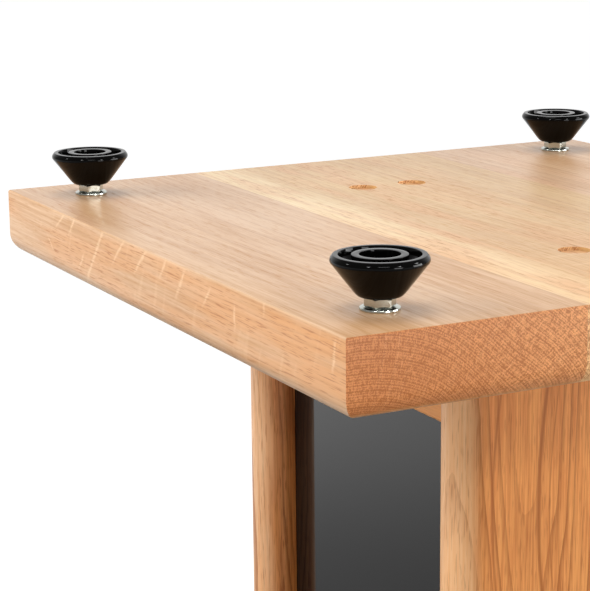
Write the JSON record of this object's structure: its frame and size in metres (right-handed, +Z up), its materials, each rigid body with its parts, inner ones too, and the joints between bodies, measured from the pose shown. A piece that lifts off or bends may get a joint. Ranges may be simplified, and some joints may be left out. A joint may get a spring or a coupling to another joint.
{
  "type": "speaker stand",
  "caption": "Solid oak speaker stand: thick square plates on a two-upright column with glossy black side panels, carried and topped by threaded black cone feet.",
  "frame": {"origin": "on the floor under the middle of the stand, at the centre of the bounding box's bottom", "axes": "+Z up; X across the boards' grain, along the broad faces of the uprights; Y along the grain; -Y is the front, the broad face of an upright"},
  "size_m": [0.32, 0.33, 0.5992],
  "materials": {
    "oak_board": "satin lacquered oak, long boards with end grain at both ends",
    "oak_upright": "satin lacquered oak, plain-sawn, grain upright",
    "oak_rail": "satin lacquered oak",
    "plug_oak": "satin lacquered oak, turned grain, darker than the boards",
    "black_panel": "polished black acrylic",
    "black_moulding": "glossy black moulded plastic",
    "polished_nut": "bright chrome plated steel",
    "zinc_steel": "zinc plated steel",
    "brass": "turned brass"
  },
  "bodies": {
    "frame": {"top_board_left": "oak_board", "top_board_middle": "oak_board", "top_board_right": "oak_board", "base_board_left": "oak_board", "base_board_middle": "oak_board", "base_board_right": "oak_board", "upright_front": "oak_upright", "upright_back": "oak_upright", "rail_top_left": "oak_rail", "rail_top_right": "oak_rail", "rail_bottom_left": "oak_rail", "rail_bottom_right": "oak_rail", "side_panel_left": "black_panel", "side_panel_right": "black_panel", "plug_1": "plug_oak", "plug_2": "plug_oak", "plug_3": "plug_oak", "plug_4": "plug_oak", "top_screw_1": "zinc_steel", "top_screw_2": "zinc_steel", "top_screw_3": "zinc_steel", "top_screw_4": "zinc_steel", "base_screw_1": "zinc_steel", "base_screw_2": "zinc_steel", "base_screw_3": "zinc_steel", "base_screw_4": "zinc_steel", "top_lock_nut_1": "polished_nut", "top_lock_nut_2": "polished_nut", "top_lock_nut_3": "polished_nut", "top_lock_nut_4": "polished_nut", "top_insert_1": "brass", "top_insert_2": "brass", "top_insert_3": "brass", "top_insert_4": "brass", "base_lock_nut_1": "polished_nut", "base_lock_nut_2": "polished_nut", "base_lock_nut_3": "polished_nut", "base_lock_nut_4": "polished_nut", "base_insert_1": "brass", "base_insert_2": "brass", "base_insert_3": "brass", "base_insert_4": "brass"},
    "top_stud_1": {"top_stud_1": "zinc_steel"},
    "top_cup_1": {"top_cup_1": "black_moulding"},
    "top_stud_2": {"top_stud_2": "zinc_steel"},
    "top_cup_2": {"top_cup_2": "black_moulding"},
    "top_stud_3": {"top_stud_3": "zinc_steel"},
    "top_cup_3": {"top_cup_3": "black_moulding"},
    "top_stud_4": {"top_stud_4": "zinc_steel"},
    "top_cup_4": {"top_cup_4": "black_moulding"},
    "base_stud_1": {"base_stud_1": "zinc_steel"},
    "base_cup_1": {"base_cup_1": "black_moulding"},
    "base_stud_2": {"base_stud_2": "zinc_steel"},
    "base_cup_2": {"base_cup_2": "black_moulding"},
    "base_stud_3": {"base_stud_3": "zinc_steel"},
    "base_cup_3": {"base_cup_3": "black_moulding"},
    "base_stud_4": {"base_stud_4": "zinc_steel"},
    "base_cup_4": {"base_cup_4": "black_moulding"}
  },
  "joints": [
    {"name": "top_foot_1_height", "type": "slide", "parent": "frame", "child": "top_stud_1", "axis": [0, 0, 1], "range_m": [0, 0.006]},
    {"name": "top_foot_1_turn", "type": "hinge", "parent": "top_stud_1", "child": "top_cup_1", "pos_m": [-0.13, -0.135, 0.5796], "axis": [0, 0, 1], "range_deg": [0, 2160]},
    {"name": "top_foot_2_height", "type": "slide", "parent": "frame", "child": "top_stud_2", "axis": [0, 0, 1], "range_m": [0, 0.006]},
    {"name": "top_foot_2_turn", "type": "hinge", "parent": "top_stud_2", "child": "top_cup_2", "pos_m": [0.13, -0.135, 0.5796], "axis": [0, 0, 1], "range_deg": [0, 2160]},
    {"name": "top_foot_3_height", "type": "slide", "parent": "frame", "child": "top_stud_3", "axis": [0, 0, 1], "range_m": [0, 0.006]},
    {"name": "top_foot_3_turn", "type": "hinge", "parent": "top_stud_3", "child": "top_cup_3", "pos_m": [-0.13, 0.135, 0.5796], "axis": [0, 0, 1], "range_deg": [0, 2160]},
    {"name": "top_foot_4_height", "type": "slide", "parent": "frame", "child": "top_stud_4", "axis": [0, 0, 1], "range_m": [0, 0.006]},
    {"name": "top_foot_4_turn", "type": "hinge", "parent": "top_stud_4", "child": "top_cup_4", "pos_m": [0.13, 0.135, 0.5796], "axis": [0, 0, 1], "range_deg": [0, 2160]},
    {"name": "base_foot_1_height", "type": "slide", "parent": "frame", "child": "base_stud_1", "axis": [0, 0, -1], "range_m": [0, 0.006]},
    {"name": "base_foot_1_turn", "type": "hinge", "parent": "base_stud_1", "child": "base_cup_1", "pos_m": [-0.13, -0.135, 0.0196], "axis": [0, 0, -1], "range_deg": [0, 2160]},
    {"name": "base_foot_2_height", "type": "slide", "parent": "frame", "child": "base_stud_2", "axis": [0, 0, -1], "range_m": [0, 0.006]},
    {"name": "base_foot_2_turn", "type": "hinge", "parent": "base_stud_2", "child": "base_cup_2", "pos_m": [0.13, -0.135, 0.0196], "axis": [0, 0, -1], "range_deg": [0, 2160]},
    {"name": "base_foot_3_height", "type": "slide", "parent": "frame", "child": "base_stud_3", "axis": [0, 0, -1], "range_m": [0, 0.006]},
    {"name": "base_foot_3_turn", "type": "hinge", "parent": "base_stud_3", "child": "base_cup_3", "pos_m": [-0.13, 0.135, 0.0196], "axis": [0, 0, -1], "range_deg": [0, 2160]},
    {"name": "base_foot_4_height", "type": "slide", "parent": "frame", "child": "base_stud_4", "axis": [0, 0, -1], "range_m": [0, 0.006]},
    {"name": "base_foot_4_turn", "type": "hinge", "parent": "base_stud_4", "child": "base_cup_4", "pos_m": [0.13, 0.135, 0.0196], "axis": [0, 0, -1], "range_deg": [0, 2160]}
  ],
  "couplings": [
    {"joint": "top_foot_1_turn", "follows": "top_foot_1_height", "rad_per_m": 6283.2},
    {"joint": "top_foot_2_turn", "follows": "top_foot_2_height", "rad_per_m": 6283.2},
    {"joint": "top_foot_3_turn", "follows": "top_foot_3_height", "rad_per_m": 6283.2},
    {"joint": "top_foot_4_turn", "follows": "top_foot_4_height", "rad_per_m": 6283.2},
    {"joint": "base_foot_1_turn", "follows": "base_foot_1_height", "rad_per_m": 6283.2},
    {"joint": "base_foot_2_turn", "follows": "base_foot_2_height", "rad_per_m": 6283.2},
    {"joint": "base_foot_3_turn", "follows": "base_foot_3_height", "rad_per_m": 6283.2},
    {"joint": "base_foot_4_turn", "follows": "base_foot_4_height", "rad_per_m": 6283.2}
  ]
}
